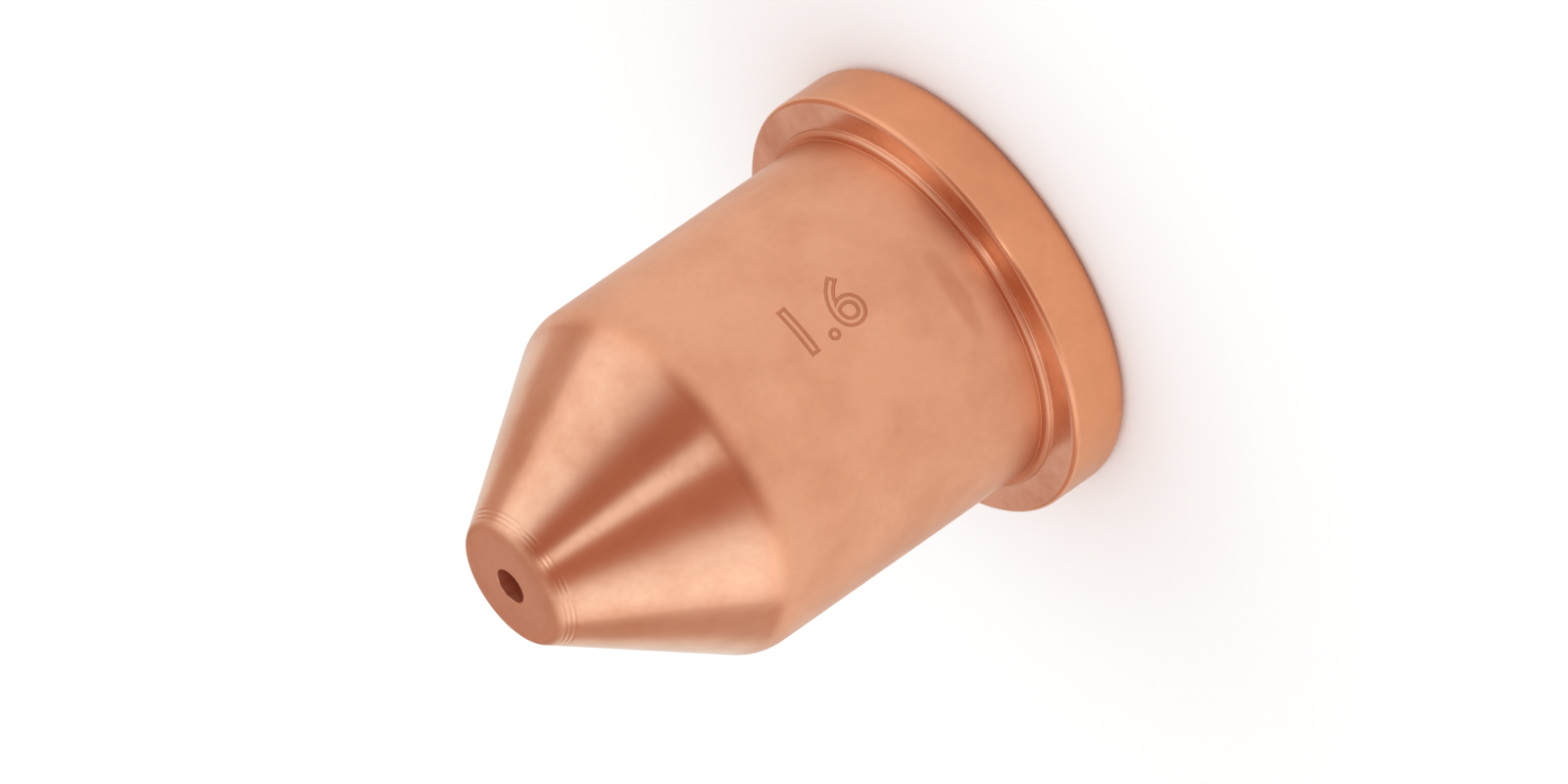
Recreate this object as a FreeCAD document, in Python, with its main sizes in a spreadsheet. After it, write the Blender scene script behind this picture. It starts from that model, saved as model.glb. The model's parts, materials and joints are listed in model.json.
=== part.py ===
"""Plasma torch nozzle: one piece turned from a copper bar.

The nozzle stands on the rear face of its flange. +Z is its axis, from the rear
face to the nose, and the origin is the centre of the rear face. Sizes are in
millimetres. From rear to front the outside is a flange that a retaining cap
clamps, a low collar at its root, a straight body and a cone that ends in a small
flat nose. The inside is a seat recess, the electrode chamber, a converging cone
and the orifice that narrows the arc.
"""
import FreeCAD, Part
import math
import os
import Sketcher

# ---------------------------------------------------------------- dimensions
# Every size that can be set by itself, once. Angles are in degrees.
DIMENSIONS = {
    # outside
    "overall_height": (25.3, "rear face to nose face"),
    "body_dia": (16.44, "straight body"),
    "flange_overhang": (1.78, "flange beyond the body, on the radius"),
    "flange_thickness": (3.05, "rear face to the flange's front face"),
    "collar_overhang": (0.4, "collar beyond the body, on the radius"),
    "collar_height": (0.26, "collar above the flange"),
    "cone_half_angle": (34.0, "outer cone, from the axis"),
    "nose_dia": (5.6, "nose face before its edge is rounded"),
    # inside
    "wall": (2.0, "body wall round the chamber"),
    "seat_ledge": (0.8, "seat recess beyond the chamber, on the radius"),
    "seat_depth": (3.0, "seat recess"),
    "chamber_half_angle": (37.0, "converging cone, from the axis"),
    "throat_dia": (3.0, "flat end of the converging cone"),
    "orifice_dia": (1.6, "orifice"),
    "orifice_length": (3.6, "throat to nose face"),
    # edges
    "rear_edge_radius": (0.7, "flange, rear edge"),
    "front_edge_break": (0.25, "chamfer on the flange's front edge"),
    "collar_edge_break": (0.1, "chamfer on the collar's outer edge"),
    "collar_root_bevel": (0.2, "bevel in the corner of collar and body"),
    "shoulder_radius": (1.4, "body to outer cone"),
    "nose_edge_radius": (0.4, "outer cone to nose face"),
    "chamber_blend_radius": (2.0, "chamber to converging cone"),
    "seat_lead_in": (0.3, "chamfer at the mouth of the seat recess"),
    "ledge_edge_break": (0.2, "chamfer where the ledge meets the chamber"),
}

doc = FreeCAD.newDocument("plasma_torch_nozzle")
sheet = doc.addObject("Spreadsheet::Sheet", "sizes")
for row, (alias, (amount, meaning)) in enumerate(DIMENSIONS.items(), start=1):
    sheet.set(f"A{row}", str(amount))
    sheet.setAlias(f"A{row}", alias)
    sheet.set(f"B{row}", meaning)
doc.recompute()


# ------------------------------------------------------------------- helpers
def origin_plane(body, role):
    """The body's own origin plane of that role, such as XZ_Plane."""
    return next(item for item in body.Origin.OriginFeatures if item.Role == role)


def half_section(body, name, corners):
    """Sketch a closed half-section on the XZ plane.

    Each corner is (label, radius, height), both expressions on the sheet, and
    None puts the corner on the axis or on the rear face. The corners start on a
    ring, and their dimensions then put them in place.
    """
    sketch = body.newObject("Sketcher::SketchObject", name)
    sketch.AttachmentSupport = [(origin_plane(body, "XZ_Plane"), "")]
    sketch.MapMode = "FlatFace"
    turn = 2 * math.pi / len(corners)
    ring = [FreeCAD.Vector(20 + 10 * math.cos(i * turn), 20 + 10 * math.sin(i * turn), 0)
            for i in range(len(corners))]
    for i, start in enumerate(ring):
        sketch.addGeometry(Part.LineSegment(start, ring[(i + 1) % len(ring)]), False)
    for i in range(len(corners)):
        sketch.addConstraint(Sketcher.Constraint("Coincident", i, 2, (i + 1) % len(corners), 1))
    for i, (label, radius, height) in enumerate(corners):
        place_corner(sketch, i, "DistanceX", -2, f"{label}_radius", radius)
        place_corner(sketch, i, "DistanceY", -1, f"{label}_height", height)
    return sketch


def place_corner(sketch, line, direction, axis, name, expression):
    """Dimension a line's start from the origin, or put it on a sketch axis."""
    if expression is None:
        sketch.addConstraint(Sketcher.Constraint("PointOnObject", line, 1, axis))
        return
    index = sketch.addConstraint(Sketcher.Constraint(direction, -1, 1, line, 1, 20.0))
    sketch.renameConstraint(index, name)
    sketch.setExpression(f"Constraints.{name}", expression)


def round_edge(feature, sketch, label):
    """Name the circular edge that a half-section's corner makes on a feature."""
    radius = sketch.getDatum(f"{label}_radius").Value
    names = [constraint.Name for constraint in sketch.Constraints]
    height = sketch.getDatum(f"{label}_height").Value if f"{label}_height" in names else 0.0
    for index, edge in enumerate(feature.Shape.Edges, start=1):
        if not isinstance(edge.Curve, Part.Circle):
            continue
        if abs(edge.Curve.Radius - radius) < 1e-6 and abs(edge.Curve.Center.z - height) < 1e-6:
            return f"Edge{index}"
    raise ValueError(f"no edge at {label}")


def dress_edge(body, kind, name, sketch, label, size_property, size):
    """Add a fillet or chamfer on one turned edge, with its size bound to the sheet."""
    base = body.Tip
    edge = round_edge(base, sketch, label)
    feature = body.newObject(f"PartDesign::{kind}", name)
    feature.Base = (base, [edge])
    feature.setExpression(size_property, size)
    doc.recompute()
    return feature


def revolved(body, kind, name, sketch):
    """Turn a half-section about the axis, as a Revolution or as a Groove."""
    feature = body.newObject(f"PartDesign::{kind}", name)
    feature.Profile = sketch
    feature.ReferenceAxis = (sketch, ["V_Axis"])
    feature.Angle = 360.0
    sketch.Visibility = False
    doc.recompute()
    return feature


# -------------------------------------------------------------- turned outside
# Radii and heights of the outside, as expressions on the sheet.
BODY_RADIUS = "sizes.body_dia / 2"
COLLAR_RADIUS = f"{BODY_RADIUS} + sizes.collar_overhang"
FLANGE_RADIUS = f"{BODY_RADIUS} + sizes.flange_overhang"
NOSE_RADIUS = "sizes.nose_dia / 2"
COLLAR_TOP = "sizes.flange_thickness + sizes.collar_height"
CONE_START = (f"sizes.overall_height - ({BODY_RADIUS} - {NOSE_RADIUS})"
              " / tan(sizes.cone_half_angle * 1deg)")

nozzle = doc.addObject("PartDesign::Body", "nozzle")
nozzle.Label = "nozzle"

outside = half_section(nozzle, "outside", [
    ("rear_centre", None, None),
    ("flange_rear", FLANGE_RADIUS, None),
    ("flange_front", FLANGE_RADIUS, "sizes.flange_thickness"),
    ("collar_foot", COLLAR_RADIUS, "sizes.flange_thickness"),
    ("collar_top", COLLAR_RADIUS, COLLAR_TOP),
    ("collar_root", BODY_RADIUS, COLLAR_TOP),
    ("cone_start", BODY_RADIUS, CONE_START),
    ("nose_edge", NOSE_RADIUS, "sizes.overall_height"),
    ("nose_centre", None, "sizes.overall_height"),
])
blank = revolved(nozzle, "Revolution", "blank", outside)

# -------------------------------------------------------------- bored inside
CHAMBER_RADIUS = f"{BODY_RADIUS} - sizes.wall"
SEAT_RADIUS = f"{CHAMBER_RADIUS} + sizes.seat_ledge"
THROAT_RADIUS = "sizes.throat_dia / 2"
THROAT_HEIGHT = "sizes.overall_height - sizes.orifice_length"
CHAMBER_END = (f"{THROAT_HEIGHT} - ({CHAMBER_RADIUS} - {THROAT_RADIUS})"
               " / tan(sizes.chamber_half_angle * 1deg)")

inside = half_section(nozzle, "inside", [
    ("mouth_centre", None, None),
    ("seat_mouth", SEAT_RADIUS, None),
    ("seat_floor", SEAT_RADIUS, "sizes.seat_depth"),
    ("ledge", CHAMBER_RADIUS, "sizes.seat_depth"),
    ("chamber_end", CHAMBER_RADIUS, CHAMBER_END),
    ("throat", THROAT_RADIUS, THROAT_HEIGHT),
    ("throat_centre", None, THROAT_HEIGHT),
])
chamber = revolved(nozzle, "Groove", "chamber", inside)

# ------------------------------------------------------------------- orifice
nose_face = nozzle.newObject("Sketcher::SketchObject", "nose_face")
nose_face.AttachmentSupport = [(origin_plane(nozzle, "XY_Plane"), "")]
nose_face.MapMode = "FlatFace"
nose_face.setExpression(".AttachmentOffset.Base.z", "sizes.overall_height")
nose_face.addGeometry(Part.Circle(FreeCAD.Vector(0, 0, 0), FreeCAD.Vector(0, 0, 1), 1.0), False)
nose_face.addConstraint(Sketcher.Constraint("Coincident", 0, 3, -1, 1))
nose_face.addConstraint(Sketcher.Constraint("Diameter", 0, 2.0))
nose_face.renameConstraint(1, "orifice_dia")
nose_face.setExpression("Constraints.orifice_dia", "sizes.orifice_dia")
nose_face.Visibility = False
doc.recompute()

orifice = nozzle.newObject("PartDesign::Hole", "orifice")
orifice.Profile = nose_face
orifice.DepthType = "Dimension"
orifice.DrillPoint = "Flat"
orifice.setExpression("Diameter", "sizes.orifice_dia")
orifice.setExpression("Depth", "sizes.orifice_length + sizes.orifice_dia")
doc.recompute()

# --------------------------------------------------------------------- edges
dress_edge(nozzle, "Fillet", "flange_rear_edge", outside, "flange_rear", "Radius", "sizes.rear_edge_radius")
dress_edge(nozzle, "Chamfer", "flange_front_edge", outside, "flange_front", "Size", "sizes.front_edge_break")
dress_edge(nozzle, "Chamfer", "collar_edge", outside, "collar_top", "Size", "sizes.collar_edge_break")
dress_edge(nozzle, "Chamfer", "collar_corner", outside, "collar_root", "Size", "sizes.collar_root_bevel")
dress_edge(nozzle, "Fillet", "shoulder", outside, "cone_start", "Radius", "sizes.shoulder_radius")
dress_edge(nozzle, "Fillet", "nose_rounding", outside, "nose_edge", "Radius", "sizes.nose_edge_radius")
dress_edge(nozzle, "Fillet", "chamber_blend", inside, "chamber_end", "Radius", "sizes.chamber_blend_radius")
dress_edge(nozzle, "Chamfer", "seat_mouth_chamfer", inside, "seat_mouth", "Size", "sizes.seat_lead_in")
dress_edge(nozzle, "Chamfer", "ledge_edge_chamfer", inside, "ledge", "Size", "sizes.ledge_edge_break")

# --------------------------------------------------------------------- checks
failed = [item.Name for item in doc.Objects if "Invalid" in item.State or "Error" in item.State]
if failed:
    raise RuntimeError(f"features failed: {failed}")
if nozzle.Shape.isNull() or not nozzle.Shape.isValid() or len(nozzle.Shape.Solids) != 1:
    raise RuntimeError("the nozzle is not one valid solid")
for before, after in ((blank, chamber), (chamber, orifice)):
    if after.Shape.Volume >= before.Shape.Volume:
        raise RuntimeError(f"{after.Name} removes nothing")

# --------------------------------------------------------------------- export
os.makedirs("parts", exist_ok=True)
nozzle.Shape.exportStep(f"parts/{nozzle.Label}.step")
box = nozzle.Shape.optimalBoundingBox()
print(f"nozzle: {nozzle.Shape.Volume:.2f} mm3, {box.XLength:.3f} x {box.YLength:.3f} x {box.ZLength:.3f} mm,"
      f" {len(nozzle.Shape.Faces)} faces")
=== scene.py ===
"""Looks of a turned copper plasma torch nozzle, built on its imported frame.

The nozzle is one piece of copper. Outside it has a flange, a low collar at the
flange's root, a straight body, a cone and a small flat nose. Inside it has a seat
recess, the electrode chamber, a converging cone and the orifice. Its section is
turned about +Z, which is the axis from the rear face to the nose. Lengths are in
metres unless a name ends in _mm, and angles are in degrees.
"""
from __future__ import annotations

import json
import logging
import math
from dataclasses import dataclass
from enum import Enum

import bmesh
import bpy
from mathutils import Matrix, Vector


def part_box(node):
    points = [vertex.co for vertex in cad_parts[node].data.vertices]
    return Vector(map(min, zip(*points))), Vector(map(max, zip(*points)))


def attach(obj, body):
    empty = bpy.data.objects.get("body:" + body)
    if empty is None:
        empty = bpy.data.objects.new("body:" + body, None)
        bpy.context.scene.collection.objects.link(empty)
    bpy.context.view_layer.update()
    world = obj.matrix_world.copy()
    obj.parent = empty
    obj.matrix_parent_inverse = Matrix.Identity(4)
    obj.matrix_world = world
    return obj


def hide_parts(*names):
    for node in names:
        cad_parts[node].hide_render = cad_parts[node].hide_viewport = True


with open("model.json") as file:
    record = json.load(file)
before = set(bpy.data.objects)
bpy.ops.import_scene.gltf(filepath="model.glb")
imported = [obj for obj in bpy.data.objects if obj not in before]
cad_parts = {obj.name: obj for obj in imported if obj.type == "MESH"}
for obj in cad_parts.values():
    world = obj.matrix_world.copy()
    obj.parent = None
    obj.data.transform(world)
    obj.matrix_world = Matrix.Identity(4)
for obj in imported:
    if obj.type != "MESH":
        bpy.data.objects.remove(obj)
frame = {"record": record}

MM = 0.001
LOG = logging.getLogger("nozzle")
Point3 = tuple[float, float, float]
Colour = tuple[float, float, float]


# ------------------------------------------------------------------- section
@dataclass(frozen=True)
class Corner:
    """A corner of the turned section.

    rounding is its radius, cut is how much pale painted highlight its rounded
    edge gets, and run_painted_highlight is the same for the straight run after it, both from 0,
    none, to 1, the full highlight tone.
    """

    radius: float
    height: float
    rounding: float = 0.02 * MM
    cut: float = 0.0
    run_painted_highlight: float = 0.0


@dataclass(frozen=True)
class SectionPoint:
    """A point of the rounded outline, with its outward normal and its share of painted highlight."""

    place: Vector
    normal: Vector
    cut: float


class Section:
    """A closed section that is turned about the axis, with rounded corners."""

    ARC_STEPS = 10
    SUPPORT = 0.03 * MM

    def __init__(self, corners: list[Corner]) -> None:
        """Keep the corners, in order round the section.

        Args:
            corners: The corners, each joined to the next by a straight run, with
                the copper on the right of the way along them.
        """
        self.corners = corners

    def points(self) -> list[SectionPoint]:
        """Work out the rounded outline.

        Returns:
            The points in order, with each arc held by a support point on the
            runs beside it.
        """
        outline: list[SectionPoint] = []
        count = len(self.corners)
        for index in range(count):
            outline.extend(self._round(index - 1, index, (index + 1) % count))
        return outline

    def _reach(self, index: int) -> float:
        """Length of the runs beside a corner that its arc takes up."""
        corner = self.corners[index]
        back = self._run(index, index - 1)
        ahead = self._run(index, (index + 1) % len(self.corners))
        return corner.rounding / math.tan(back.angle(ahead) / 2)

    def _run(self, start: int, end: int) -> Vector:
        """Way from one corner to another."""
        first, last = self.corners[start], self.corners[end]
        return Vector((last.radius - first.radius, last.height - first.height))

    def _round(self, before: int, index: int, after: int) -> list[SectionPoint]:
        """Round one corner with a tangent arc.

        Args:
            before: Index of the corner before it.
            index: Index of the corner to round.
            after: Index of the corner after it.

        Returns:
            A support point, the arc's points and another support point.
        """
        corner = self.corners[index]
        tip = Vector((corner.radius, corner.height))
        back, ahead = self._run(index, before), self._run(index, after)
        reach = self._reach(index)
        hold_back = min(self.SUPPORT, (back.length - reach - self._reach(before)) / 3)
        hold_ahead = min(self.SUPPORT, (ahead.length - reach - self._reach(after)) / 3)
        half = back.angle(ahead) / 2
        back.normalize()
        ahead.normalize()
        normal_back = Vector((back.y, -back.x))
        normal_ahead = Vector((-ahead.y, ahead.x))
        centre = tip + (back + ahead).normalized() * (corner.rounding / math.sin(half))
        start = tip + back * reach - centre
        end = tip + ahead * reach - centre
        sweep = start.angle(end)
        found = [SectionPoint(tip + back * (reach + hold_back), normal_back, self.corners[before].run_painted_highlight)]
        for step in range(self.ARC_STEPS + 1):
            share = step / self.ARC_STEPS
            weight_start = math.sin((1 - share) * sweep) / math.sin(sweep)
            weight_end = math.sin(share * sweep) / math.sin(sweep)
            found.append(SectionPoint(
                centre + start * weight_start + end * weight_end,
                normal_back * weight_start + normal_ahead * weight_end,
                corner.cut,
            ))
        found.append(SectionPoint(tip + ahead * (reach + hold_ahead), normal_ahead, corner.run_painted_highlight))
        return found


# ------------------------------------------------------------------ finishes
class Slot(Enum):
    """Material slots of the record."""

    COPPER = "copper"


@dataclass(frozen=True)
class Zone:
    """A stretch of the part's height with its own tone and roughness.

    It takes over from the zone below it between start and full.
    """

    tone: Colour
    roughness: float
    start: float = 0.0
    full: float = 0.0


@dataclass(frozen=True)
class Stain:
    """A faint darker, duller patch of the copper, with soft edges.

    full_within and gone_beyond are shares of its half size.
    """

    centre: Point3
    half_size: Point3
    strength: float
    full_within: float = 0.45
    gone_beyond: float = 1.15

    def mask(self, nodes: bpy.types.Nodes, links: bpy.types.NodeLinks) -> bpy.types.NodeSocket:
        """Make the patch's mask.

        Args:
            nodes: The material's nodes.
            links: The material's links.

        Returns:
            The mask's socket, from 0 outside the patch to its strength inside.
        """
        place = nodes.new("ShaderNodeTexCoord")
        offset = nodes.new("ShaderNodeVectorMath")
        offset.operation = "SUBTRACT"
        offset.inputs[1].default_value = self.centre
        links.new(place.outputs["Object"], offset.inputs[0])
        stretch = nodes.new("ShaderNodeVectorMath")
        stretch.operation = "DIVIDE"
        stretch.inputs[1].default_value = self.half_size
        links.new(offset.outputs["Vector"], stretch.inputs[0])
        away = nodes.new("ShaderNodeVectorMath")
        away.operation = "LENGTH"
        links.new(stretch.outputs["Vector"], away.inputs[0])
        mask = nodes.new("ShaderNodeMapRange")
        mask.interpolation_type = "SMOOTHSTEP"
        mask.inputs["From Min"].default_value = self.full_within
        mask.inputs["From Max"].default_value = self.gone_beyond
        mask.inputs["To Min"].default_value = self.strength
        mask.inputs["To Max"].default_value = 0.0
        links.new(away.outputs["Value"], mask.inputs["Value"])
        return mask.outputs["Result"]


@dataclass(frozen=True)
class Copper:
    """Bare machined copper, with fine marks round the axis.

    The marks spread a highlight along the axis and keep it narrow round it.
    """

    name: str
    zones: tuple[Zone, ...]
    dull_tone: Colour
    # Pale tone of a painted highlight, mixed in along the edges that the section marks.
    painted_highlight_tone: Colour
    anisotropy: float
    mark_depth_mm: float
    dulling: float = 0.6
    dark_patch: Stain | None = None
    edge_tint: Colour = (0.84, 0.84, 0.80)

    def material(self) -> bpy.types.Material:
        """Make the material.

        Returns:
            The material.
        """
        material = bpy.data.materials.new(self.name)
        material.use_nodes = True
        nodes = material.node_tree.nodes
        links = material.node_tree.links
        shader = nodes["Principled BSDF"]
        shader.inputs["Metallic"].default_value = 1.0
        shader.inputs["Specular Tint"].default_value = (*self.edge_tint, 1.0)
        shader.inputs["Anisotropic"].default_value = self.anisotropy
        shader.inputs["Anisotropic Rotation"].default_value = 0.25

        tangent = nodes.new("ShaderNodeTangent")
        tangent.direction_type = "RADIAL"
        tangent.axis = "Z"
        links.new(tangent.outputs["Tangent"], shader.inputs["Tangent"])

        # Each point's share of painted highlight, read from the mesh.
        painted_highlight_attribute = nodes.new("ShaderNodeAttribute")
        painted_highlight_attribute.attribute_name = Nozzle.PAINTED_HIGHLIGHT_NAME
        handling = nodes.new("ShaderNodeGroup")
        handling.node_tree = handled_metal()
        handling.inputs["Dull Colour"].default_value = (*self.dull_tone, 1.0)
        handling.inputs["Cut Colour"].default_value = (*self.painted_highlight_tone, 1.0)
        handling.inputs["Dulling"].default_value = self.dulling
        links.new(painted_highlight_attribute.outputs["Fac"], handling.inputs["Cut"])
        if self.dark_patch:
            links.new(self.dark_patch.mask(nodes, links), handling.inputs["Stain"])
        self._zones(nodes, links, handling)
        links.new(handling.outputs["Colour"], shader.inputs["Base Color"])
        links.new(handling.outputs["Roughness"], shader.inputs["Roughness"])

        marks = nodes.new("ShaderNodeGroup")
        marks.node_tree = turning_marks()
        bump = nodes.new("ShaderNodeBump")
        bump.inputs["Distance"].default_value = self.mark_depth_mm * MM
        links.new(marks.outputs["Height"], bump.inputs["Height"])
        links.new(bump.outputs["Normal"], shader.inputs["Normal"])
        return material

    def _zones(self, nodes: bpy.types.Nodes, links: bpy.types.NodeLinks, handling: bpy.types.Node) -> None:
        """Lead the zones' tones and roughnesses into the handling group.

        Args:
            nodes: The material's nodes.
            links: The material's links.
            handling: The group's node.
        """
        place = nodes.new("ShaderNodeTexCoord")
        height = nodes.new("ShaderNodeSeparateXYZ")
        links.new(place.outputs["Object"], height.inputs[0])
        colour, rough = handling.inputs["Colour"], handling.inputs["Roughness"]
        for zone in reversed(self.zones[1:]):
            share = nodes.new("ShaderNodeMapRange")
            share.interpolation_type = "SMOOTHSTEP"
            share.inputs["From Min"].default_value = zone.start
            share.inputs["From Max"].default_value = zone.full
            links.new(height.outputs["Z"], share.inputs["Value"])
            tone = nodes.new("ShaderNodeMix")
            tone.data_type = "RGBA"
            tone.inputs["B"].default_value = (*zone.tone, 1.0)
            links.new(share.outputs["Result"], tone.inputs["Factor"])
            links.new(tone.outputs["Result"], colour)
            level = nodes.new("ShaderNodeMix")
            level.data_type = "FLOAT"
            level.inputs["B"].default_value = zone.roughness
            links.new(share.outputs["Result"], level.inputs["Factor"])
            links.new(level.outputs["Result"], rough)
            colour, rough = tone.inputs["A"], level.inputs["A"]
        colour.default_value = (*self.zones[0].tone, 1.0)
        rough.default_value = self.zones[0].roughness


@dataclass(frozen=True)
class Clouds:
    """A layer of noise that dulls the metal where it rises from low to high."""

    scale: float
    detail: float
    low: float
    high: float
    strength: float


CLOUD_LAYERS = (
    Clouds(scale=260.0, detail=3.0, low=0.42, high=0.78, strength=1.0),
    Clouds(scale=3200.0, detail=2.0, low=0.40, high=0.80, strength=0.25),
)
CLOUD_ROUGHNESS = 0.6
DULL_ADDS_ROUGHNESS = 0.10
# Where the painted highlight is mixed in, the metal is also made glossier.
PAINTED_HIGHLIGHT_ADDS_ROUGHNESS = -0.12


def new_group(name: str, inputs: dict[str, str], outputs: dict[str, str]) -> bpy.types.NodeTree:
    """Make an empty shader node group with typed sockets.

    Args:
        name: The group's name.
        inputs: Socket name to socket type.
        outputs: Socket name to socket type.

    Returns:
        The group, with its input and output nodes.
    """
    group = bpy.data.node_groups.new(name, "ShaderNodeTree")
    for socket, kind in inputs.items():
        group.interface.new_socket(socket, in_out="INPUT", socket_type=kind)
    for socket, kind in outputs.items():
        group.interface.new_socket(socket, in_out="OUTPUT", socket_type=kind)
    group.nodes.new("NodeGroupInput")
    group.nodes.new("NodeGroupOutput")
    return group


def mix_colour(group: bpy.types.NodeTree, share: bpy.types.NodeSocket,
               first: bpy.types.NodeSocket, second: bpy.types.NodeSocket) -> bpy.types.NodeSocket:
    """Mix two colours by a share.

    Args:
        group: The node tree to work in.
        share: How much of the second colour shows.
        first: The first colour.
        second: The second colour.

    Returns:
        The mixed colour's socket.
    """
    mix = group.nodes.new("ShaderNodeMix")
    mix.data_type = "RGBA"
    group.links.new(share, mix.inputs["Factor"])
    group.links.new(first, mix.inputs["A"])
    group.links.new(second, mix.inputs["B"])
    return mix.outputs["Result"]


def handled_metal() -> bpy.types.NodeTree:
    """Clouds of duller metal where it has aged, and a pale painted highlight mixed in along some edges.

    Returns:
        A group with Colour, Dull Colour, Cut Colour, Cut, Stain, Dulling and
        Roughness in, and Colour and Roughness out.
    """
    name = "handled metal"
    if name in bpy.data.node_groups:
        return bpy.data.node_groups[name]
    colour, number = "NodeSocketColor", "NodeSocketFloat"
    group = new_group(name, {"Colour": colour, "Dull Colour": colour, "Cut Colour": colour, "Cut": number,
                             "Stain": number, "Dulling": number, "Roughness": number},
                      {"Colour": colour, "Roughness": number})
    nodes, links = group.nodes, group.links
    given, result = nodes["Group Input"], nodes["Group Output"]
    place = nodes.new("ShaderNodeTexCoord")
    dull = given.outputs["Stain"]
    for layer in CLOUD_LAYERS:
        clouds = nodes.new("ShaderNodeTexNoise")
        clouds.inputs["Scale"].default_value = layer.scale
        clouds.inputs["Detail"].default_value = layer.detail
        clouds.inputs["Roughness"].default_value = CLOUD_ROUGHNESS
        links.new(place.outputs["Object"], clouds.inputs["Vector"])
        share = nodes.new("ShaderNodeMapRange")
        share.inputs["From Min"].default_value = layer.low
        share.inputs["From Max"].default_value = layer.high
        share.inputs["To Max"].default_value = layer.strength
        links.new(clouds.outputs["Fac"], share.inputs["Value"])
        add = nodes.new("ShaderNodeMath")
        add.operation = "MULTIPLY_ADD"
        add.use_clamp = True
        links.new(share.outputs["Result"], add.inputs[0])
        links.new(given.outputs["Dulling"], add.inputs[1])
        links.new(dull, add.inputs[2])
        dull = add.outputs["Value"]
    dulled = mix_colour(group, dull, given.outputs["Colour"], given.outputs["Dull Colour"])
    # Mix in the pale colour of the painted highlight.
    shown = mix_colour(group, given.outputs["Cut"], dulled, given.outputs["Cut Colour"])
    links.new(shown, result.inputs["Colour"])
    rough = given.outputs["Roughness"]
    for cause, change in ((dull, DULL_ADDS_ROUGHNESS), (given.outputs["Cut"], PAINTED_HIGHLIGHT_ADDS_ROUGHNESS)):
        add = nodes.new("ShaderNodeMath")
        add.operation = "MULTIPLY_ADD"
        add.inputs[1].default_value = change
        links.new(cause, add.inputs[0])
        links.new(rough, add.inputs[2])
        rough = add.outputs["Value"]
    links.new(rough, result.inputs["Roughness"])
    return group


def turning_marks() -> bpy.types.NodeTree:
    """Fine rings that the tool leaves, along the section's length.

    Returns:
        A group with Height out.
    """
    name = "turning marks"
    if name in bpy.data.node_groups:
        return bpy.data.node_groups[name]
    group = new_group(name, {}, {"Height": "NodeSocketFloat"})
    nodes, links = group.nodes, group.links
    result = nodes["Group Output"]
    section = nodes.new("ShaderNodeUVMap")
    section.uv_map = Nozzle.UV_NAME
    stretch = nodes.new("ShaderNodeMapping")
    stretch.inputs["Scale"].default_value = (3.0, 1.0, 1.0)
    links.new(section.outputs["UV"], stretch.inputs["Vector"])
    rings = nodes.new("ShaderNodeTexNoise")
    rings.inputs["Scale"].default_value = 9.0
    rings.inputs["Detail"].default_value = 4.0
    rings.inputs["Roughness"].default_value = 0.65
    links.new(stretch.outputs["Vector"], rings.inputs["Vector"])
    links.new(rings.outputs["Fac"], result.inputs["Height"])
    return group


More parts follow.
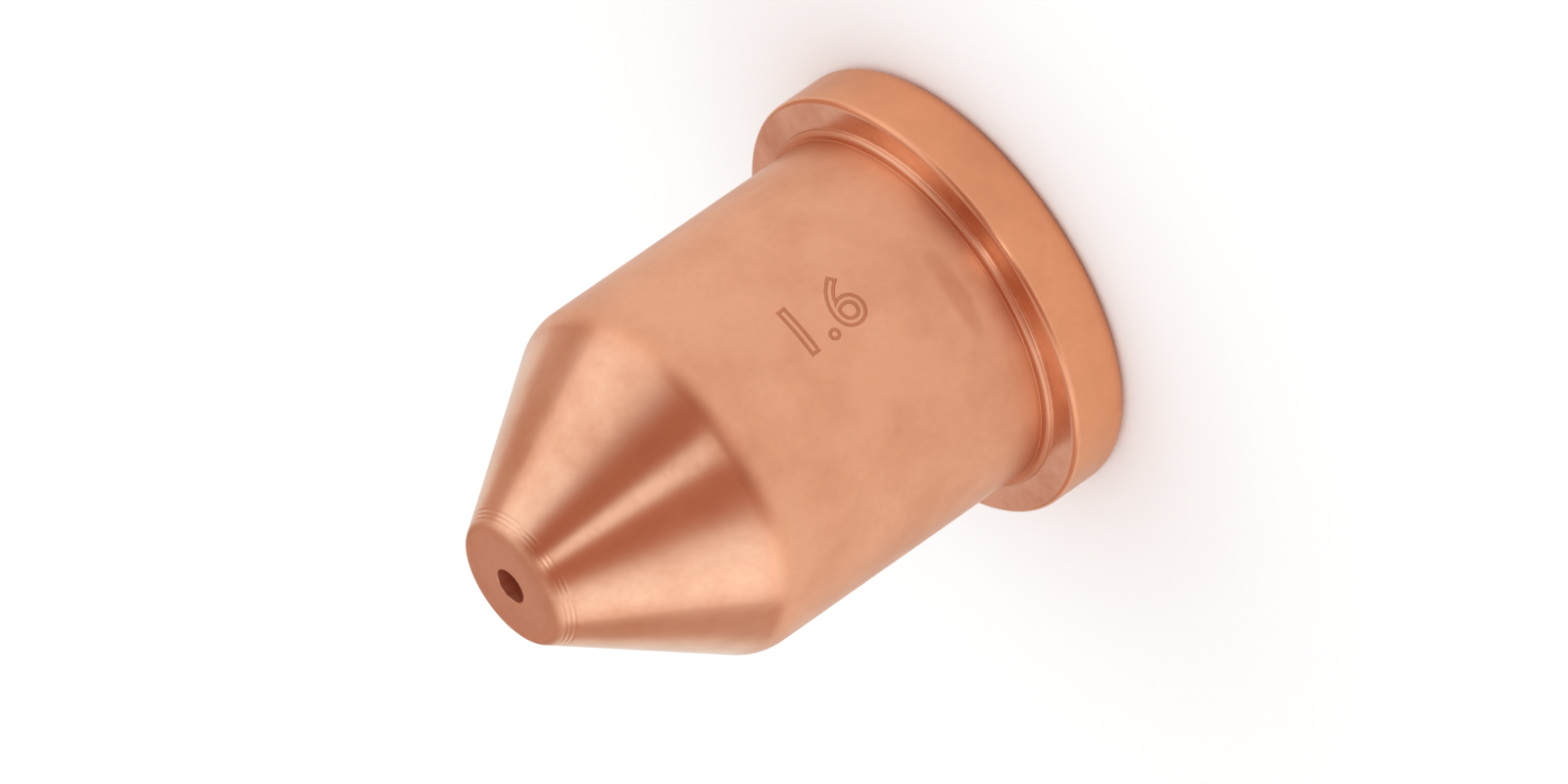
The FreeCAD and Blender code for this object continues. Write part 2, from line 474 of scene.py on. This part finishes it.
# -------------------------------------------------------------------- nozzle
@dataclass
class Nozzle:
    """The turned nozzle.

    The frame gives the sizes without a value here. The others have no mount and
    are the same as in the part's source, apart from the softer edges and the
    tool's rings.
    """

    rim_radius: float
    body_radius: float
    seat_radius: float
    chamber_radius: float
    orifice_radius: float
    height: float
    flange_front: float
    seat_floor: float
    throat: float
    collar_overhang: float = 0.4 * MM
    collar_height: float = 0.26 * MM
    nose_radius: float = 2.8 * MM
    throat_radius: float = 1.5 * MM
    cone_half_angle: float = 34.0
    chamber_half_angle: float = 37.0
    nose_rounding: float = 0.45 * MM
    shoulder_rounding: float = 2.0 * MM
    collar_rounding: float = 0.20 * MM
    front_edge_rounding: float = 0.28 * MM
    rear_edge_rounding: float = 0.7 * MM
    chamber_rounding: float = 2.0 * MM
    ring_first: float = 0.32 * MM
    ring_pitch: float = 0.20 * MM
    ring_depth: float = 0.012 * MM
    ring_count: int = 3
    segments: int = 256

    UV_NAME = "section"
    # Name of the point attribute that holds each point's share of painted highlight.
    PAINTED_HIGHLIGHT_NAME = "fresh_cut"

    @classmethod
    def from_frame(cls) -> Nozzle:
        """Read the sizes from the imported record.

        Returns:
            The nozzle.
        """
        mounts = {mount["name"]: mount for mount in frame["record"]["mounts"]}
        _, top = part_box("nozzle")

        def radius(name: str) -> float:
            """Radius of a round mount, in metres."""
            return mounts[name]["dims"]["r_mm"] * MM

        def end(name: str, side: int) -> float:
            """Height of a round mount's upper (1) or lower (-1) end."""
            return mounts[name]["pos_m"][2] + side * mounts[name]["dims"]["length_mm"] * MM / 2

        return cls(
            rim_radius=radius("flange_rim"),
            body_radius=radius("body"),
            seat_radius=radius("seat_recess"),
            chamber_radius=radius("electrode_chamber"),
            orifice_radius=radius("orifice"),
            height=top.z,
            flange_front=mounts["flange_front"]["pos_m"][2],
            seat_floor=end("seat_recess", 1),
            throat=end("orifice", -1),
        )

    @property
    def cone_start(self) -> float:
        """Height where the body would meet the cone if the shoulder were sharp."""
        run = (self.body_radius - self.nose_radius) / math.tan(math.radians(self.cone_half_angle))
        return self.height - run

    @property
    def chamber_end(self) -> float:
        """Height where the chamber would meet its converging cone if it were sharp."""
        run = self.chamber_radius - self.throat_radius
        return self.throat - run / math.tan(math.radians(self.chamber_half_angle))

    def outside(self) -> list[Corner]:
        """Corners of the outside, from the orifice's exit to the rear face."""
        collar_radius = self.body_radius + self.collar_overhang
        collar_top = self.flange_front + self.collar_height
        return [
            Corner(self.orifice_radius, self.height, 0.05 * MM),
            Corner(self.nose_radius, self.height, self.nose_rounding),
            *self.nose_rings(),
            Corner(self.body_radius, self.cone_start, self.shoulder_rounding),
            # The collar's top, edge, side and root and the flange's front edge carry a pale painted
            # highlight.
            Corner(self.body_radius, collar_top, 0.04 * MM, run_painted_highlight=0.1),
            Corner(collar_radius, collar_top, self.collar_rounding, cut=0.15, run_painted_highlight=0.1),
            Corner(collar_radius, self.flange_front, 0.02 * MM, cut=0.1),
            Corner(self.rim_radius, self.flange_front, self.front_edge_rounding, cut=0.1),
            Corner(self.rim_radius, 0.0, self.rear_edge_rounding),
        ]

    def nose_rings(self) -> list[Corner]:
        """Fine rings that the tool left on the cone, close to the nose."""
        slope = math.radians(self.cone_half_angle)
        rings = []
        for index in range(2 * self.ring_count + 1):
            along = self.ring_first + index * self.ring_pitch / 2
            depth = self.ring_depth * (index % 2)
            rings.append(Corner(
                self.nose_radius + along * math.sin(slope) - depth * math.cos(slope),
                self.height - along * math.cos(slope) - depth * math.sin(slope),
                0.2 * MM if index % 2 else 0.1 * MM,
            ))
        return rings

    def inside(self) -> list[Corner]:
        """Corners of the inside, from the rear face to the orifice's entry."""
        lead_in = 0.3 * MM
        edge_break = 0.2 * MM
        return [
            Corner(self.seat_radius + lead_in, 0.0),
            Corner(self.seat_radius, lead_in),
            Corner(self.seat_radius, self.seat_floor, 0.1 * MM),
            Corner(self.chamber_radius + edge_break, self.seat_floor),
            Corner(self.chamber_radius, self.seat_floor + edge_break),
            Corner(self.chamber_radius, self.chamber_end, self.chamber_rounding),
            Corner(self.throat_radius, self.throat, 0.1 * MM),
            Corner(self.orifice_radius, self.throat, 0.05 * MM),
        ]

    def build(self) -> bpy.types.Object:
        """Turn the section about the axis.

        Returns:
            The nozzle's object, with smooth faces and a UV map that runs round
            the axis in turns and along the section in millimetres.
        """
        outline = Section(self.outside() + self.inside()).points()
        count = len(outline)
        turns = [2 * math.pi * i / self.segments for i in range(self.segments)]
        vertices, normals = (
            [(math.cos(turn) * spot.x, math.sin(turn) * spot.x, spot.y) for turn in turns for spot in spots]
            for spots in ([point.place for point in outline], [point.normal for point in outline])
        )
        faces = []
        for i in range(self.segments):
            here, there = i * count, (i + 1) % self.segments * count
            for j in range(count):
                k = (j + 1) % count
                faces.append((here + j, here + k, there + k, there + j))
        mesh = bpy.data.meshes.new("nozzle_turned")
        mesh.from_pydata(vertices, [], faces)
        mesh.shade_smooth()
        outer = len(Section(self.outside()).points())
        mesh.polygons.foreach_set("material_index", [int(j >= outer) for j in range(count)] * self.segments)
        # Store each point's share of painted highlight.
        painted_highlight_attribute = mesh.attributes.new(self.PAINTED_HIGHLIGHT_NAME, "FLOAT", "POINT")
        painted_highlight_attribute.data.foreach_set("value", [point.cut for point in outline] * self.segments)
        lengths = [0.0]
        for j in range(count):
            step = outline[(j + 1) % count].place - outline[j].place
            lengths.append(lengths[-1] + step.length / MM)
        layer = mesh.uv_layers.new(name=self.UV_NAME)
        spots = []
        for i in range(self.segments):
            u0, u1 = i / self.segments, (i + 1) / self.segments
            for j in range(count):
                v0, v1 = lengths[j], lengths[j + 1]
                spots.extend((u0, v0, u0, v1, u1, v1, u1, v0))
        layer.data.foreach_set("uv", spots)
        mesh.normals_split_custom_set_from_vertices(normals)
        piece = bpy.data.objects.new("nozzle_turned", mesh)
        bpy.context.scene.collection.objects.link(piece)
        return piece

    def dress(self, piece: bpy.types.Object) -> None:
        """Give the nozzle its finish and join it to the frame.

        Args:
            piece: The nozzle's object.
        """
        front, nose = self.flange_front, self.height
        patch_turn = math.radians(-4.0)
        turned = Copper(
            name="turned copper",
            zones=(
                Zone((0.785, 0.345, 0.18), 0.29),
                # The flange's front face: glossier, and paler as a painted highlight that stands in for the
                # reflection it shows.
                Zone((0.97, 0.69, 0.545), 0.18, front - 0.04 * MM, front - 0.005 * MM),
                Zone((0.775, 0.375, 0.225), 0.34, front + 0.01 * MM, front + 0.05 * MM),
                Zone((0.825, 0.485, 0.33), 0.215, self.cone_start - 0.3 * MM, self.cone_start + 1.2 * MM),
                Zone((0.78, 0.44, 0.295), 0.42, nose - 0.50 * MM, nose - 0.12 * MM),
                Zone((0.83, 0.49, 0.35), 0.32, nose - 0.03 * MM, nose - 0.005 * MM),
            ),
            dull_tone=(0.62, 0.265, 0.145),
            # Pale tone of the painted highlight along the collar and the flange's front edge.
            painted_highlight_tone=(0.97, 0.66, 0.49),
            anisotropy=0.6,
            mark_depth_mm=0.002,
            # A faint darker, duller patch on the body, about 5 mm up.
            dark_patch=Stain(
                centre=(
                    self.body_radius * math.sin(patch_turn),
                    -self.body_radius * math.cos(patch_turn),
                    5.0 * MM,
                ),
                half_size=(2.5 * MM, 2.5 * MM, 0.55 * MM),
                strength=0.5,
            ),
        )
        bored = Copper(
            name="bored copper",
            zones=(
                Zone((0.74, 0.34, 0.20), 0.38),
                Zone((0.93, 0.43, 0.30), 0.42, self.throat - 0.5 * MM, self.throat),
            ),
            dull_tone=(0.55, 0.22, 0.12),
            painted_highlight_tone=(0.93, 0.62, 0.47),
            anisotropy=0.5,
            mark_depth_mm=0.004,
        )
        piece.data.materials.append(turned.material())
        piece.data.materials.append(bored.material())
        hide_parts("nozzle")
        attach(piece, "root")


# --------------------------------------------------------------- etched size
@dataclass(frozen=True)
class EtchedSize:
    """The orifice's size in millimetres, in fine dull outline on the body.

    It reads from the nose towards the flange. The turn is measured round +Z,
    from -Y towards +X. The lines stand a hair proud of the body.
    """

    text: str
    body_radius: float
    turn: float
    height: float
    digit_size: float = 3.3 * MM
    line_width: float = 0.15 * MM
    proud: float = 0.004 * MM
    longest: float = 0.4 * MM
    stroke_cuts: int = 10

    def build(self) -> bpy.types.Object:
        """Draw the digits' outlines and wrap them round the body.

        Returns:
            The digits' object.
        """
        drawn = bpy.data.curves.new("size_drawing", "FONT")
        drawn.body = self.text
        drawn.align_x = "CENTER"
        drawn.align_y = "CENTER"
        drawn.fill_mode = "NONE"
        drawn.resolution_u = 6
        drawn.bevel_resolution = 1
        drawn.bevel_depth = self.line_width / 2 / self.digit_size
        drawing = bpy.data.objects.new("size_drawing", drawn)
        mesh = bpy.data.meshes.new_from_object(drawing)
        mesh.name = "etched_size"
        self._split_strokes(mesh)
        lift = self.proud / drawn.bevel_depth
        for vertex in mesh.vertices:
            turn = math.radians(self.turn) + vertex.co.y * self.digit_size / self.body_radius
            radius = self.body_radius + vertex.co.z * lift
            height = self.height - vertex.co.x * self.digit_size
            vertex.co = (radius * math.sin(turn), -radius * math.cos(turn), height)
        bpy.data.objects.remove(drawing)
        bpy.data.curves.remove(drawn)
        mesh.shade_smooth()
        piece = bpy.data.objects.new("etched_size", mesh)
        bpy.context.scene.collection.objects.link(piece)
        return piece

    def _split_strokes(self, mesh: bpy.types.Mesh) -> None:
        """Split the long straight strokes, so that they can follow the body.

        Args:
            mesh: The flat drawing.
        """
        work = bmesh.new()
        work.from_mesh(mesh)
        limit = self.longest / self.digit_size
        long_edges = [edge for edge in work.edges if edge.calc_length() > limit]
        bmesh.ops.subdivide_edges(work, edges=long_edges, cuts=self.stroke_cuts, use_grid_fill=True)
        work.to_mesh(mesh)
        work.free()

    def dress(self, piece: bpy.types.Object) -> None:
        """Give the digits a dull finish and join them to the frame.

        Args:
            piece: The digits' object.
        """
        etched = Copper(
            name="etched copper",
            zones=(Zone((0.60, 0.235, 0.125), 0.5),),
            dull_tone=(0.50, 0.20, 0.11),
            painted_highlight_tone=(0.60, 0.235, 0.125),
            anisotropy=0.0,
            mark_depth_mm=0.001,
        )
        piece.data.materials.clear()
        piece.data.materials.append(etched.material())
        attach(piece, "root")


# -------------------------------------------------------------------- studio
@dataclass(frozen=True)
class Softbox:
    """A flat lamp that faces the nozzle, placed by direction.

    Azimuth 0 is the camera's side, -Y, and turns towards +X.
    """

    name: str
    azimuth: float
    elevation: float
    width: float
    height: float
    radiance: float
    distance: float = 0.45

    def build(self, aim: Vector) -> None:
        """Hang the lamp.

        Args:
            aim: The point that it faces.
        """
        lamp = bpy.data.lights.new(self.name, "AREA")
        lamp.shape = "RECTANGLE"
        lamp.size = self.width
        lamp.size_y = self.height
        lamp.energy = self.radiance * math.pi * self.width * self.height
        place = bpy.data.objects.new(self.name, lamp)
        place.matrix_world = facing(aim, self.azimuth, self.elevation, self.distance)
        place.visible_camera = False
        bpy.context.scene.collection.objects.link(place)


@dataclass(frozen=True)
class Span:
    """A range of angle that fades in at its low end and out at its high end."""

    low: float
    high: float
    fade_in: float
    fade_out: float

    def cover(self, angle: float) -> float:
        """Tell how far the range covers an angle.

        Args:
            angle: The angle.

        Returns:
            0 at the ends and beyond, 1 inside the fades.
        """
        rise = (angle - self.low) / self.fade_in
        fall = (self.high - angle) / self.fade_out
        share = min(max(min(rise, fall), 0.0), 1.0)
        return share * share * (3 - 2 * share)

    def steps(self, count: int) -> list[float]:
        """Divide the range into evenly spaced angles."""
        return [self.low + (self.high - self.low) * i / count for i in range(count + 1)]


@dataclass(frozen=True)
class Flag:
    """A toned, soft-edged sheet of the tent's dome, which only the metal sees."""

    name: str
    azimuth: Span
    elevation: Span
    tone: Colour
    distance: float = 0.6
    steps: int = 32

    def build(self, aim: Vector) -> None:
        """Stand the sheet.

        Args:
            aim: The dome's centre.
        """
        vertices, covers, faces = [], [], []
        for azimuth in self.azimuth.steps(self.steps):
            for elevation in self.elevation.steps(self.steps):
                vertices.append(aim + direction(azimuth, elevation) * self.distance)
                covers.append(self.azimuth.cover(azimuth) * self.elevation.cover(elevation))
        row = self.steps + 1
        for i in range(self.steps):
            for j in range(self.steps):
                corner = i * row + j
                faces.append((corner, corner + row, corner + row + 1, corner + 1))
        mesh = bpy.data.meshes.new(self.name)
        mesh.from_pydata(vertices, [], faces)
        mesh.attributes.new("cover", "FLOAT", "POINT").data.foreach_set("value", covers)
        mesh.materials.append(self._material())
        sheet = bpy.data.objects.new(self.name, mesh)
        sheet.visible_camera = False
        sheet.visible_diffuse = False
        sheet.visible_shadow = False
        bpy.context.scene.collection.objects.link(sheet)

    def _material(self) -> bpy.types.Material:
        """Make the sheet's glowing material, clear where it doesn't cover."""
        material = bpy.data.materials.new(self.name)
        material.use_nodes = True
        nodes, links = material.node_tree.nodes, material.node_tree.links
        nodes.clear()
        cover = nodes.new("ShaderNodeAttribute")
        cover.attribute_name = "cover"
        clear = nodes.new("ShaderNodeBsdfTransparent")
        glow = nodes.new("ShaderNodeEmission")
        glow.inputs["Color"].default_value = (*self.tone, 1.0)
        mix = nodes.new("ShaderNodeMixShader")
        output = nodes.new("ShaderNodeOutputMaterial")
        links.new(cover.outputs["Fac"], mix.inputs[0])
        links.new(clear.outputs["BSDF"], mix.inputs[1])
        links.new(glow.outputs["Emission"], mix.inputs[2])
        links.new(mix.outputs["Shader"], output.inputs["Surface"])
        return material


def direction(azimuth: float, elevation: float) -> Vector:
    """Unit vector for an azimuth, from -Y towards +X, and an elevation."""
    turn, rise = math.radians(azimuth), math.radians(elevation)
    return Vector((math.sin(turn) * math.cos(rise), -math.cos(turn) * math.cos(rise), math.sin(rise)))


def facing(aim: Vector, azimuth: float, elevation: float, distance: float) -> Matrix:
    """Place something round a point, with its -Z axis towards the point.

    Args:
        aim: The point.
        azimuth: Direction round +Z, from -Y towards +X.
        elevation: Direction above the horizon.
        distance: How far from the point.

    Returns:
        The placed object's matrix.
    """
    away = direction(azimuth, elevation)
    return Matrix.Translation(aim + away * distance) @ away.to_track_quat("Z", "Y").to_matrix().to_4x4()


@dataclass
class Studio:
    """A white floor under a white tent, with softboxes and flags."""

    aim: Vector
    shoulder: Vector
    floor_half: float = 3.0
    white: Colour = (1.0, 1.0, 1.0)

    def floor(self) -> None:
        """Lay the white floor that the nozzle stands on."""
        mesh = bpy.data.meshes.new("floor")
        half = self.floor_half
        corners = [(-half, -half, 0), (half, -half, 0), (half, half, 0), (-half, half, 0)]
        mesh.from_pydata(corners, [], [(0, 1, 2, 3)])
        material = bpy.data.materials.new("floor paper")
        material.use_nodes = True
        shader = material.node_tree.nodes["Principled BSDF"]
        shader.inputs["Base Color"].default_value = (*self.white, 1.0)
        shader.inputs["Roughness"].default_value = 0.9
        shader.inputs["Specular IOR Level"].default_value = 0.0
        mesh.materials.append(material)
        paper = bpy.data.objects.new("floor", mesh)
        bpy.context.scene.collection.objects.link(paper)

    def tent(self) -> None:
        """Surround the scene with plain white light."""
        world = bpy.data.worlds.new("tent")
        world.use_nodes = True
        background = world.node_tree.nodes["Background"]
        background.inputs["Color"].default_value = (*self.white, 1.0)
        background.inputs["Strength"].default_value = 1.0
        bpy.context.scene.world = world

    def lights(self) -> None:
        """Hang the softboxes and stand the flags."""
        for lamp in (
            Softbox("front strip", 0.0, 46.0, 0.10, 0.56, 0.10),
            Softbox("low front strip", -1.0, 22.0, 0.07, 0.16, 1.5),
            Softbox("left softbox", -84.0, 28.0, 0.42, 0.36, 0.14),
            Softbox("right softbox", 82.0, 28.0, 0.42, 0.36, 0.12),
            Softbox("low left strip", -84.0, 17.0, 0.42, 0.18, 0.20),
            Softbox("low right strip", 82.0, 17.0, 0.42, 0.18, 0.18),
        ):
            lamp.build(self.aim)
        for flag in (
            Flag("left front flag", Span(-76, -7.5, 40, 6), Span(0, 90, 5, 6), (0.52, 0.23, 0.15)),
            Flag("right front flag", Span(5, 68, 5, 35), Span(0, 90, 5, 6), (0.47, 0.20, 0.13)),
            Flag("back flag", Span(88, 271, 34, 34), Span(-2, 90, 4, 20), (0.67, 0.45, 0.38)),
        ):
            flag.build(self.aim)
        near = Flag(
            "shoulder flag",
            Span(-36, 36, 12, 12),
            Span(4, 28, 5, 5),
            (0.40, 0.16, 0.10),
            distance=0.03,
        )
        near.build(self.shoulder)


@dataclass(frozen=True)
class Shot:
    """The camera: where it aims, from which side, and how it is rolled."""

    aim: Point3 = (0.14 * MM, 3.97 * MM, 8.15 * MM)
    elevation: float = 25.69
    distance: float = 0.7007
    roll: float = 124.78
    lens_mm: float = 387.5

    def build(self) -> None:
        """Set up the camera and make it the scene's."""
        camera = bpy.data.cameras.new("camera")
        camera.lens = self.lens_mm
        camera.sensor_width = 36.0
        camera.clip_start = 0.01
        camera.clip_end = 20.0
        stand = bpy.data.objects.new("camera", camera)
        place = facing(Vector(self.aim), 0.0, self.elevation, self.distance)
        stand.matrix_world = place @ Matrix.Rotation(-math.radians(self.roll), 4, "Z")
        bpy.context.scene.collection.objects.link(stand)
        bpy.context.scene.camera = stand


def main() -> None:
    """Build the nozzle, its finish, the studio and the camera."""
    logging.basicConfig(level=logging.INFO, format="%(name)s: %(message)s")
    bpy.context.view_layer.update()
    bpy.context.scene.view_settings.view_transform = "Standard"

    nozzle = Nozzle.from_frame()
    piece = nozzle.build()
    nozzle.dress(piece)
    LOG.info("%s: %d faces", piece.name, len(piece.data.polygons))

    size = EtchedSize(
        text=f"{2 * nozzle.orifice_radius / MM:.1f}",
        body_radius=nozzle.body_radius,
        turn=12.0,
        height=10.6 * MM,
    )
    digits = size.build()
    size.dress(digits)
    LOG.info("%s: %d faces", digits.name, len(digits.data.polygons))

    studio = Studio(aim=Vector((0.0, 0.0, nozzle.height / 2)), shoulder=Vector((0.0, 0.0, nozzle.cone_start)))
    studio.floor()
    studio.tent()
    studio.lights()
    Shot().build()
    LOG.info("studio and camera are set")


if __name__ == "__main__":
    main()
